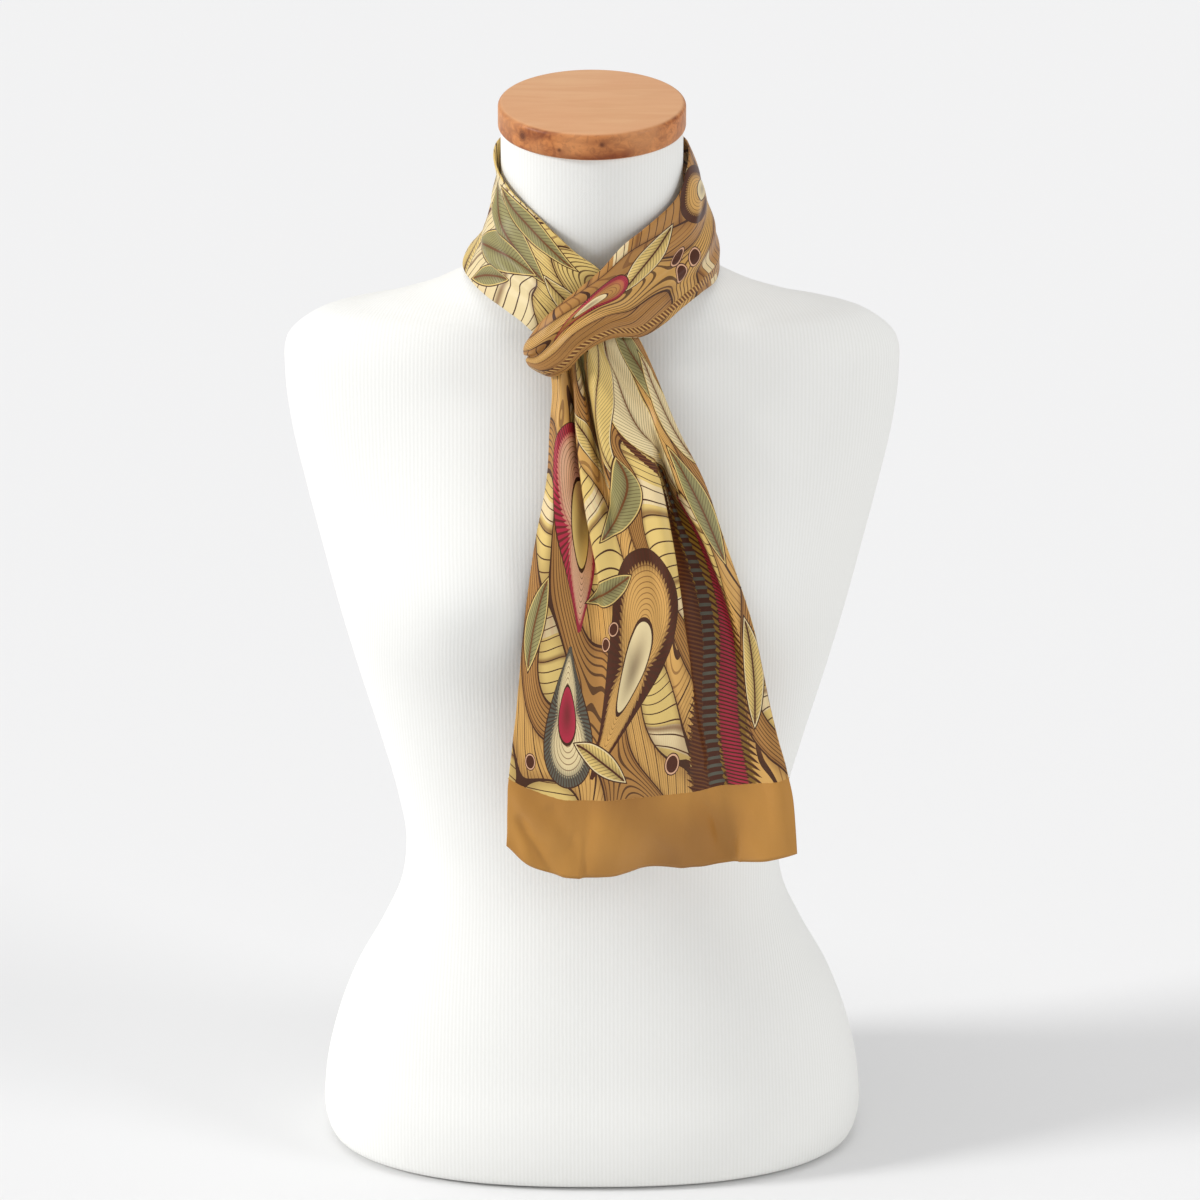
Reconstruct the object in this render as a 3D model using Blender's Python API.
"""A tube scarf tied in a half knot round the neck of a limbless dress form, in metres, +Z up."""

import bpy
import numpy as np

# Frame: the origin is the centre of the form's flat base, the front faces -Y, and +X is on the
# viewer's right. Left and right below are the viewer's.
GAP = 0.0003  # the clear distance between the form's neck and its cap
SHARP_DEG = 50  # an edge that turns by more than this is drawn sharp
MILLIMETRE = 0.001

# --- Dress form -------------------------------------------------------------------------------
FORM_SIDES = 44
FORM_RING_GAP = 0.027
# One row for each section: height, half width, reach to the front and to the back of the section's
# own centre line, where that line lies along Y, roundness (2 is an ellipse, more is squarer) and
# the section's forward tilt in degrees.
FORM_COLUMNS = ("height", "half_width", "front", "back", "centre", "power", "tilt")
FORM_SECTIONS = (
    (0.000, 0.1660, 0.104, 0.102, -0.012, 2.40, 0.0),
    (0.004, 0.1715, 0.110, 0.107, -0.012, 2.40, 0.0),
    (0.012, 0.1745, 0.112, 0.110, -0.012, 2.40, 0.0),
    (0.037, 0.1745, 0.112, 0.112, -0.012, 2.40, 0.0),
    (0.067, 0.1685, 0.107, 0.112, -0.010, 2.30, 0.0),
    (0.102, 0.1560, 0.102, 0.108, -0.008, 2.25, 0.0),
    (0.137, 0.1370, 0.096, 0.096, -0.005, 2.20, 0.0),
    (0.167, 0.1240, 0.089, 0.084, -0.003, 2.15, 0.0),
    (0.197, 0.1205, 0.085, 0.078, 0.000, 2.15, 0.0),
    (0.232, 0.1260, 0.087, 0.078, 0.000, 2.20, 0.0),
    (0.272, 0.1365, 0.091, 0.082, 0.000, 2.30, 0.0),
    (0.317, 0.1495, 0.098, 0.088, 0.000, 2.35, 0.0),
    (0.362, 0.1615, 0.108, 0.093, 0.000, 2.35, 0.0),
    (0.402, 0.1715, 0.112, 0.096, 0.002, 2.35, 0.0),
    (0.442, 0.1815, 0.105, 0.097, 0.004, 2.35, 0.0),
    (0.482, 0.1905, 0.091, 0.094, 0.008, 2.40, 0.0),
    (0.512, 0.1938, 0.078, 0.084, 0.010, 2.40, 0.0),
    (0.532, 0.1925, 0.068, 0.073, 0.010, 2.30, 0.0),
    (0.546, 0.1780, 0.062, 0.065, 0.010, 2.05, 0.0),
    (0.557, 0.1380, 0.059, 0.060, 0.008, 1.80, 0.5),
    (0.569, 0.0990, 0.057, 0.058, 0.006, 1.75, 1.5),
    (0.581, 0.0760, 0.055, 0.057, 0.004, 1.90, 3.0),
    (0.597, 0.0640, 0.054, 0.056, 0.001, 2.00, 4.5),
    (0.622, 0.0582, 0.054, 0.055, -0.003, 2.00, 5.5),
    (0.672, 0.0565, 0.054, 0.055, -0.008, 2.00, 6.0),
)
BUST_APART = 0.098
BUST_HEIGHT = 0.393
BUST_DEPTH = 0.030
BUST_SPREAD = 0.060
BUST_DROP = 0.052

# --- Neck cap ---------------------------------------------------------------------------------
CAP_SIDES = 40
CAP_RADIUS = 0.0583
CAP_THICKNESS = 0.0170
CAP_EDGE = 0.0030
CAP_EDGE_STEPS = 4

# --- Scarf ------------------------------------------------------------------------------------
# Each stretch of the scarf is a strip through stations: a point on each of its long edges, a and b,
# and how far the cloth bellies out between them. Its wall stands for both layers of the tube.
BAND_WALL = 0.0020
TAIL_WALL = 0.0015
BAND_ACROSS = 12
LEFT_BAND_ROWS = 28
RIGHT_BAND_ROWS = 40
TAIL_ROWS = 33
TAIL_ACROSS = 64
BACK_TAIL_ROWS = 16
BACK_TAIL_ACROSS = 8
BELLY_POWER = 3
# From the back of the neck round the left side, then under the knot. Edge a is the upper one.
LEFT_BAND = (
    # edge a: x, y, z;        edge b: x, y, z;           belly
    (-0.0003, 0.0590, 0.6600, -0.0003, 0.0690, 0.5960, 0.001),
    (-0.0140, 0.0588, 0.6600, -0.0170, 0.0688, 0.5960, 0.001),
    (-0.0380, 0.0470, 0.6600, -0.0500, 0.0560, 0.5940, -0.001),
    (-0.0560, 0.0260, 0.6590, -0.0740, 0.0290, 0.5905, -0.007),
    (-0.0615, 0.0040, 0.6560, -0.0815, 0.0040, 0.5830, -0.0087),
    (-0.0585, -0.0210, 0.6480, -0.0755, -0.0245, 0.5785, -0.004),
    (-0.0490, -0.0395, 0.6395, -0.0657, -0.0410, 0.5735, 0.001),
    (-0.0332, -0.0510, 0.6276, -0.0537, -0.0560, 0.5690, 0.003),
    (-0.0221, -0.0590, 0.6186, -0.0444, -0.0660, 0.5650, 0.003),
    (-0.0104, -0.0650, 0.6089, -0.0400, -0.0710, 0.5625, 0.003),
    (0.0049, -0.0690, 0.5985, -0.0355, -0.0740, 0.5590, 0.002),
    (0.0130, -0.0730, 0.5878, -0.0300, -0.0770, 0.5520, 0.002),
)
# From the back of the neck round the right side, down across the front, round the lower left of
# the knot and back behind it. Edge a is the upper one.
RIGHT_BAND = (
    # edge a: x, y, z;       edge b: x, y, z;          belly
    (0.0003, 0.0590, 0.6600, 0.0003, 0.0690, 0.5960, 0.001),
    (0.0140, 0.0588, 0.6600, 0.0170, 0.0688, 0.5960, 0.001),
    (0.0380, 0.0470, 0.6600, 0.0500, 0.0560, 0.5940, 0.001),
    (0.0565, 0.0260, 0.6590, 0.0745, 0.0280, 0.5905, 0.002),
    (0.0605, 0.0040, 0.6570, 0.0798, 0.0040, 0.5828, 0.003),
    (0.0590, -0.0190, 0.6490, 0.0775, -0.0180, 0.5767, 0.003),
    (0.0524, -0.0360, 0.6358, 0.0682, -0.0400, 0.5753, 0.004),
    (0.0344, -0.0540, 0.6230, 0.0550, -0.0550, 0.5690, 0.005),
    (0.0184, -0.0650, 0.6127, 0.0440, -0.0665, 0.5625, 0.005),
    (0.0049, -0.0740, 0.6000, 0.0300, -0.0780, 0.5580, 0.006),
    (-0.0073, -0.0810, 0.5912, 0.0130, -0.0885, 0.5605, 0.006),
    (-0.0214, -0.0860, 0.5806, -0.0043, -0.0960, 0.5537, 0.006),
    (-0.0318, -0.0865, 0.5705, -0.0153, -0.0945, 0.5416, 0.006),
    (-0.0386, -0.0830, 0.5599, -0.0260, -0.0905, 0.5365, 0.005),
    (-0.0412, -0.0760, 0.5530, -0.0355, -0.0825, 0.5385, 0.003),
    (-0.0357, -0.0690, 0.5534, -0.0290, -0.0760, 0.5337, 0.002),
    (-0.0197, -0.0660, 0.5590, -0.0105, -0.0725, 0.5340, 0.001),
    (-0.0043, -0.0645, 0.5620, 0.0049, -0.0710, 0.5360, 0.000),
)
# The front tail, from under the knot to the hem. Edge a is the left one. The last column is the
# share of the hem's drop that a station has: the hem hangs lowest between its corners.
TAIL_STATIONS = (
    # edge a: x, y, z;          edge b: x, y, z;         drop share
    (-0.0295, -0.0777, 0.5510, 0.0134, -0.0737, 0.5868, 0.0),
    (-0.0252, -0.0860, 0.5332, 0.0314, -0.0750, 0.5524, 0.0),
    (-0.0264, -0.0980, 0.5048, 0.0534, -0.0970, 0.5048, 0.0),
    (-0.0282, -0.1080, 0.4762, 0.0686, -0.1120, 0.4777, 0.0),
    (-0.0350, -0.1170, 0.4403, 0.0814, -0.1270, 0.4438, 0.05),
    (-0.0419, -0.1250, 0.3907, 0.0981, -0.1395, 0.3957, 0.15),
    (-0.0477, -0.1290, 0.3261, 0.1123, -0.1410, 0.3305, 0.40),
    (-0.0529, -0.1300, 0.2731, 0.1248, -0.1395, 0.2767, 0.75),
    (-0.0538, -0.1290, 0.2418, 0.1279, -0.1370, 0.2404, 1.0),
)
# One row for each line that runs down the front tail, from its left edge to its right: at each
# station its share of the width, then how far it stands out there, and last how far it drops at
# the hem, both in millimetres.
FOLD_LINES = {
    "left_edge": ((0, 0, 0, 0, 0, 0, 0, 0, 0), (0, 0, 0, 0, 0, 0, 0, 0, 0), 0),
    "left_crown": (
        (0.07, 0.07, 0.07, 0.07, 0.07, 0.07, 0.07, 0.07, 0.06),
        (3, 7.0, 9.5, 10.0, 9.0, 6.5, 4.5, 3.0, 2.5), 9),
    "left_slope": (
        (0.14, 0.16, 0.165, 0.18, 0.22, 0.21, 0.20, 0.20, 0.20),
        (4, 3.0, 3.5, 4.0, 5.0, 6.0, 4.0, 2.5, 1.0), 19),
    "left_valley": (
        (0.20, 0.21, 0.215, 0.235, 0.305, 0.34, 0.30, 0.28, 0.26),
        (4, -2.0, -5.0, -5.5, -4.0, 2.0, 3.0, 1.5, 0.0), 19),
    "first_ridge": (
        (0.25, 0.22, 0.22, 0.24, 0.315, 0.385, 0.38, 0.34, 0.33),
        (4, 5.0, 9.0, 10.5, 10.5, 8.0, 5.0, 3.0, 2.5), 18.5),
    "first_back": (
        (0.31, 0.285, 0.285, 0.295, 0.36, 0.42, 0.42, 0.39, 0.39),
        (4.5, 4.5, 8.5, 11.0, 11.5, 8.5, 5.5, 3.2, 2.5), 18),
    "middle_valley": (
        (0.36, 0.34, 0.345, 0.355, 0.43, 0.47, 0.47, 0.45, 0.45),
        (5, -1.5, -4.5, 2.5, 9.0, 8.2, 5.5, 3.0, 1.0), 17),
    "second_ridge": (
        (0.48, 0.395, 0.40, 0.42, 0.51, 0.53, 0.55, 0.54, 0.52),
        (6, 9.5, 14.0, 14.5, 13.0, 10.0, 6.0, 2.5, -1.5), 16),
    "panel": (
        (0.60, 0.56, 0.57, 0.57, 0.60, 0.61, 0.62, 0.62, 0.61),
        (5, 8.5, 13.0, 14.0, 12.0, 10.0, 6.5, 3.5, 2.0), 15),
    "panel_lip": (
        (0.70, 0.68, 0.70, 0.695, 0.70, 0.68, 0.68, 0.68, 0.68),
        (3.5, 5.0, 10.5, 16.5, 17.5, 14.5, 8.0, 3.5, 3.5), 13.5),
    "panel_edge": (
        (0.76, 0.72, 0.745, 0.73, 0.735, 0.713, 0.715, 0.72, 0.73),
        (3, 4.0, 9.0, 14.5, 15.0, 12.5, 7.0, 3.0, 3.5), 12),
    "right_wall": (
        (0.80, 0.76, 0.77, 0.722, 0.722, 0.705, 0.72, 0.76, 0.79),
        (2, 3.0, 7.0, 4.0, 3.0, 3.5, 2.5, 1.0, 2.0), 10.5),
    "right_valley": (
        (0.84, 0.82, 0.80, 0.755, 0.765, 0.765, 0.80, 0.84, 0.84),
        (2, 2.5, 5.0, -5.5, -6.8, -3.7, -1.5, -0.5, 0.5), 8.5),
    "right_slope": (
        (0.89, 0.88, 0.85, 0.795, 0.850, 0.88, 0.895, 0.91, 0.91),
        (1, 3.0, 8.5, 5.0, -3.5, -3.5, -0.5, 0.0, 1.0), 5),
    "right_crown": (
        (0.95, 0.94, 0.91, 0.86, 0.915, 0.945, 0.96, 0.97, 0.97),
        (0, 2.5, 7.0, 10.5, 8.0, 5.5, 3.0, 2.0, 1.5), 1.5),
    "right_edge": ((1, 1, 1, 1, 1, 1, 1, 1, 1), (0, 0, 0, 0, 0, 0, 0, 0, 0), 0),
}
# The tail that the front one hides, from behind the knot to its hem. Edge a is the left one.
BACK_TAIL = (
    # edge a: x, y, z;        edge b: x, y, z;          belly
    (-0.0130, -0.0600, 0.5560, 0.0220, -0.0590, 0.5600, 0.000),
    (-0.0130, -0.0650, 0.5380, 0.0260, -0.0640, 0.5420, 0.001),
    (-0.0130, -0.0750, 0.5150, 0.0330, -0.0750, 0.5200, 0.001),
    (-0.0160, -0.0920, 0.4800, 0.0440, -0.0920, 0.4850, 0.001),
    (-0.0230, -0.1085, 0.4400, 0.0540, -0.1100, 0.4450, 0.001),
    (-0.0270, -0.1205, 0.3990, 0.0640, -0.1273, 0.4030, 0.000),
    (-0.0300, -0.1215, 0.3500, 0.0720, -0.1280, 0.3500, 0.001),
    (-0.0320, -0.1190, 0.3000, 0.0780, -0.1260, 0.3000, 0.001),
    (-0.0330, -0.1170, 0.2620, 0.0800, -0.1230, 0.2620, 0.001),
)


def smooth(keys, rows, at):
    """Rows of numbers given at rising keys, read in between on smooth curves."""
    keys, rows, at = np.asarray(keys, float), np.asarray(rows, float), np.asarray(at, float)
    gaps = np.diff(keys)[:, None]
    slopes = np.diff(rows, axis=0) / gaps
    inner = (slopes[1:] * gaps[:-1] + slopes[:-1] * gaps[1:]) / (gaps[1:] + gaps[:-1])
    tangents = np.vstack([slopes[:1], inner, slopes[-1:]])
    stretch = np.clip(np.searchsorted(keys, at, side="right") - 1, 0, len(keys) - 2)
    width = gaps[stretch]
    share = ((at - keys[stretch]) / gaps[stretch, 0])[:, None]
    return (
        rows[stretch] * (1 + 2 * share) * (1 - share) ** 2
        + rows[stretch + 1] * share**2 * (3 - 2 * share)
        + width * tangents[stretch] * share * (1 - share) ** 2
        - width * tangents[stretch + 1] * share**2 * (1 - share)
    )


def run_lengths(points):
    """How far along its line each point lies."""
    steps = np.linalg.norm(np.diff(points, axis=0), axis=1)
    return np.concatenate([[0.0], np.cumsum(steps)])


def material(name, colour, roughness):
    finish = bpy.data.materials.new(name)
    finish.use_nodes = True
    surface = finish.node_tree.nodes["Principled BSDF"]
    surface.inputs["Base Color"].default_value = (*colour, 1.0)
    surface.inputs["Roughness"].default_value = roughness
    surface.inputs["Metallic"].default_value = 0.0
    return finish


def add_object(name, points, faces, finish):
    mesh = bpy.data.meshes.new(name)
    mesh.from_pydata([tuple(p) for p in points], [], faces)
    mesh.update()
    mesh.shade_smooth()
    mesh.set_sharp_from_angle(angle=np.radians(SHARP_DEG))
    mesh.materials.append(finish)
    made = bpy.data.objects.new(name, mesh)
    bpy.context.scene.collection.objects.link(made)


def ring_stack(name, rings, finish):
    """A closed solid through rings of equal point count, from the lowest ring to the highest."""
    count = len(rings[0])
    faces = [tuple(reversed(range(count)))]
    for low in range(len(rings) - 1):
        first, second = low * count, (low + 1) * count
        for i in range(count):
            j = (i + 1) % count
            faces.append((first + i, first + j, second + j, second + i))
    top = (len(rings) - 1) * count
    faces.append(tuple(range(top, top + count)))
    add_object(name, np.vstack(rings), faces, finish)


def form_ring(height, half_width, front, back, centre, power, tilt):
    """One section of the form: a rounded oval, with the bust added, tilted forward."""
    turn = np.linspace(0, 2 * np.pi, FORM_SIDES, endpoint=False)
    across = np.sign(np.cos(turn)) * np.abs(np.cos(turn)) ** (2 / power)
    along = np.sign(np.sin(turn)) * np.abs(np.sin(turn)) ** (2 / power)
    x = half_width * across
    y = centre + np.where(along > 0, back, front) * along
    swell = np.exp(-(((height - BUST_HEIGHT) / BUST_DROP) ** 2))
    sides = np.exp(-(((np.abs(x) - BUST_APART) / BUST_SPREAD) ** 2))
    y -= BUST_DEPTH * swell * sides * np.clip(-along, 0, 1)
    z = height + (y - centre) * np.tan(np.radians(tilt))
    return np.column_stack([x, y, z])


def dress_form(finish):
    table = np.array(FORM_SECTIONS)
    keys = run_lengths(table[:, :2])
    at = [0.0]
    for start, end in zip(keys, keys[1:]):
        steps = int(np.ceil((end - start) / FORM_RING_GAP))
        at += list(np.linspace(start, end, steps + 1)[1:])
    rows = smooth(keys, table, at)
    rings = [form_ring(**dict(zip(FORM_COLUMNS, row))) for row in rows]
    ring_stack("form_body", rings, finish)


def neck_cap(finish):
    """The wooden disc on the neck, tilted as the neck's top is."""
    neck = dict(zip(FORM_COLUMNS, FORM_SECTIONS[-1]))
    middle = np.array([0.0, neck["centre"] + (neck["back"] - neck["front"]) / 2])
    slope = np.tan(np.radians(neck["tilt"]))
    turn = np.linspace(0, 2 * np.pi, CAP_SIDES, endpoint=False)
    bend = np.linspace(0, np.pi / 2, CAP_EDGE_STEPS)
    inset = CAP_EDGE * (1 - np.sin(bend))
    rise = CAP_EDGE * (1 - np.cos(bend))
    insets = np.concatenate([inset, inset[::-1]])
    rises = np.concatenate([rise, CAP_THICKNESS - rise[::-1]])
    rings = []
    for step_in, up in zip(insets, rises):
        flat = middle + (CAP_RADIUS - step_in) * np.column_stack([np.cos(turn), np.sin(turn)])
        lean = (flat[:, 1] - neck["centre"]) * slope
        rings.append(np.column_stack([flat, neck["height"] + GAP + lean + up]))
    ring_stack("neck_cap", rings, finish)


def grid_normals(grid):
    """The outward direction at each point of a grid of points."""
    along = np.gradient(grid, axis=0)
    across = np.gradient(grid, axis=1)
    normals = np.cross(across, along)
    return normals / np.linalg.norm(normals, axis=2, keepdims=True)


def add_sheet(name, outer, wall, finish):
    """A closed wall behind a grid of points, which is its outer face."""
    rows, columns = outer.shape[:2]
    inner = outer - grid_normals(outer) * wall
    index = np.arange(rows * columns).reshape(rows, columns)
    back = index + rows * columns
    faces = []
    for i in range(rows - 1):
        for j in range(columns - 1):
            faces.append((index[i, j], index[i, j + 1], index[i + 1, j + 1], index[i + 1, j]))
            faces.append((back[i, j], back[i + 1, j], back[i + 1, j + 1], back[i, j + 1]))
    rim = np.concatenate([index[0], index[1:, -1], index[-1, -2::-1], index[-2:0:-1, 0]])
    for a, b in zip(rim, np.roll(rim, -1)):
        faces.append((b, a, a + rows * columns, b + rows * columns))
    points = np.vstack([outer.reshape(-1, 3), inner.reshape(-1, 3)])
    add_object(name, points, [tuple(int(v) for v in face) for face in faces], finish)


def band_grid(stations, rows_along, columns, side):
    """The outer face of a plain band: rows along it, columns from edge a to edge b."""
    table = np.array(stations)
    keys = run_lengths((table[:, :3] + table[:, 3:6]) / 2)
    rows = smooth(keys, table, np.linspace(0, keys[-1], rows_along))
    edge_a, edge_b, belly = rows[:, :3], rows[:, 3:6], rows[:, 6]
    ahead = np.gradient((edge_a + edge_b) / 2, axis=0)
    out = np.cross(ahead, edge_b - edge_a) * side
    out /= np.linalg.norm(out, axis=1, keepdims=True)
    share = np.linspace(0, 1, columns)
    rise = 1 - np.abs(2 * share - 1) ** BELLY_POWER
    flat = edge_a[:, None] + share[None, :, None] * (edge_b - edge_a)[:, None]
    return flat + out[:, None] * (belly[:, None] * rise)[:, :, None]


def tail_grid():
    """The outer face of the front tail: rows down it, columns from its left edge to its right."""
    table = np.array(TAIL_STATIONS)
    keys = run_lengths((table[:, :3] + table[:, 3:6]) / 2)
    at = np.linspace(0, keys[-1], TAIL_ROWS)
    rows = smooth(keys, table, at)
    line_shares, line_heights, line_drops = zip(*FOLD_LINES.values())
    shares = smooth(keys, np.transpose(line_shares), at)
    heights = smooth(keys, np.transpose(line_heights), at) * MILLIMETRE
    drops = np.array(line_drops) * MILLIMETRE
    grid = np.empty((TAIL_ROWS, TAIL_ACROSS, 3))
    for i, row in enumerate(rows):
        edge_a, edge_b, drop_share = row[:3], row[3:6], row[6]
        width = edge_b - edge_a
        out = np.array([width[1], -width[0], 0.0])
        out /= np.linalg.norm(out)
        line = edge_a + shares[i][:, None] * width + heights[i][:, None] * out
        line[:, 2] -= drops * drop_share
        lengths = run_lengths(line)
        grid[i] = smooth(lengths, line, np.linspace(0, lengths[-1], TAIL_ACROSS))
    return grid


def clear_scene():
    for old in list(bpy.data.objects):
        bpy.data.objects.remove(old)


def main():
    clear_scene()
    jersey = material("jersey", (0.86, 0.86, 0.84), 0.85)
    wood = material("light_wood", (0.62, 0.38, 0.20), 0.45)
    silk = material("printed_silk", (0.62, 0.44, 0.20), 0.40)
    dress_form(jersey)
    neck_cap(wood)
    left = band_grid(LEFT_BAND, LEFT_BAND_ROWS, BAND_ACROSS, -1)
    right = band_grid(RIGHT_BAND, RIGHT_BAND_ROWS, BAND_ACROSS, 1)
    back = band_grid(BACK_TAIL, BACK_TAIL_ROWS, BACK_TAIL_ACROSS, 1)
    add_sheet("scarf_left_band", left, BAND_WALL, silk)
    add_sheet("scarf_right_band", right[:, ::-1], BAND_WALL, silk)
    add_sheet("scarf_front_tail", tail_grid()[:, ::-1], TAIL_WALL, silk)
    add_sheet("scarf_back_tail", back[:, ::-1], TAIL_WALL, silk)


main()
